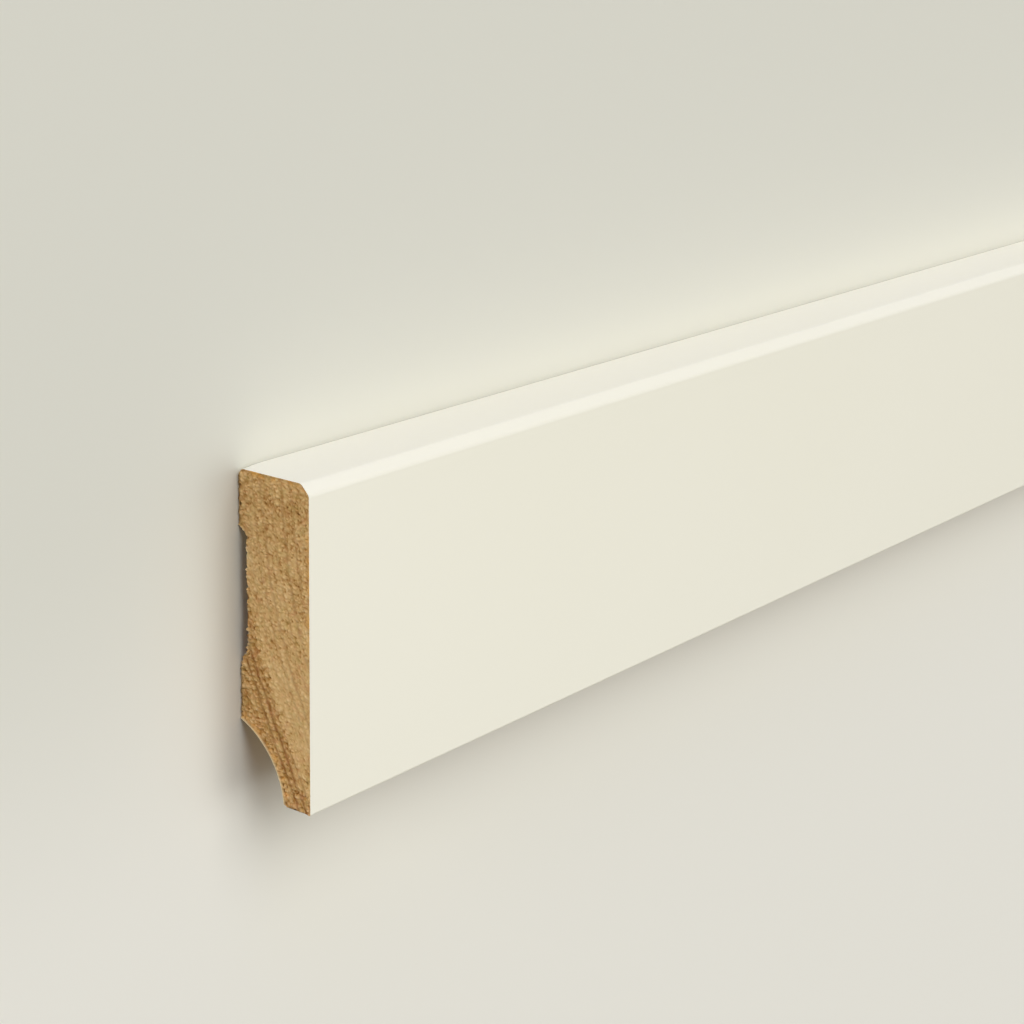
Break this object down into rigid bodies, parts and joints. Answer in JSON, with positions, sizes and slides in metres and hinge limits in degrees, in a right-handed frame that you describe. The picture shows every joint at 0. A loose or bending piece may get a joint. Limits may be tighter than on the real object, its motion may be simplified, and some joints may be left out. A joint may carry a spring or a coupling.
{
  "type": "skirting board length",
  "caption": "Straight softwood skirting board with a lacquered face, bevelled top nose, hollowed back and a cable cove behind its foot.",
  "frame": {"origin": "on the plane of the back lands, halfway along the board and halfway up its height, so under the middle of the board as it lies", "axes": "+X along the board, with the sawn end seen in the picture at -X; +Y from the foot to the top edge; +Z from the back to the lacquered face, upwards as the board lies"},
  "size_m": [2.4, 0.058, 0.016],
  "materials": {
    "lacquered_softwood": "satin"
  },
  "bodies": {
    "root": {"skirting_board": "lacquered_softwood"}
  },
  "joints": []
}
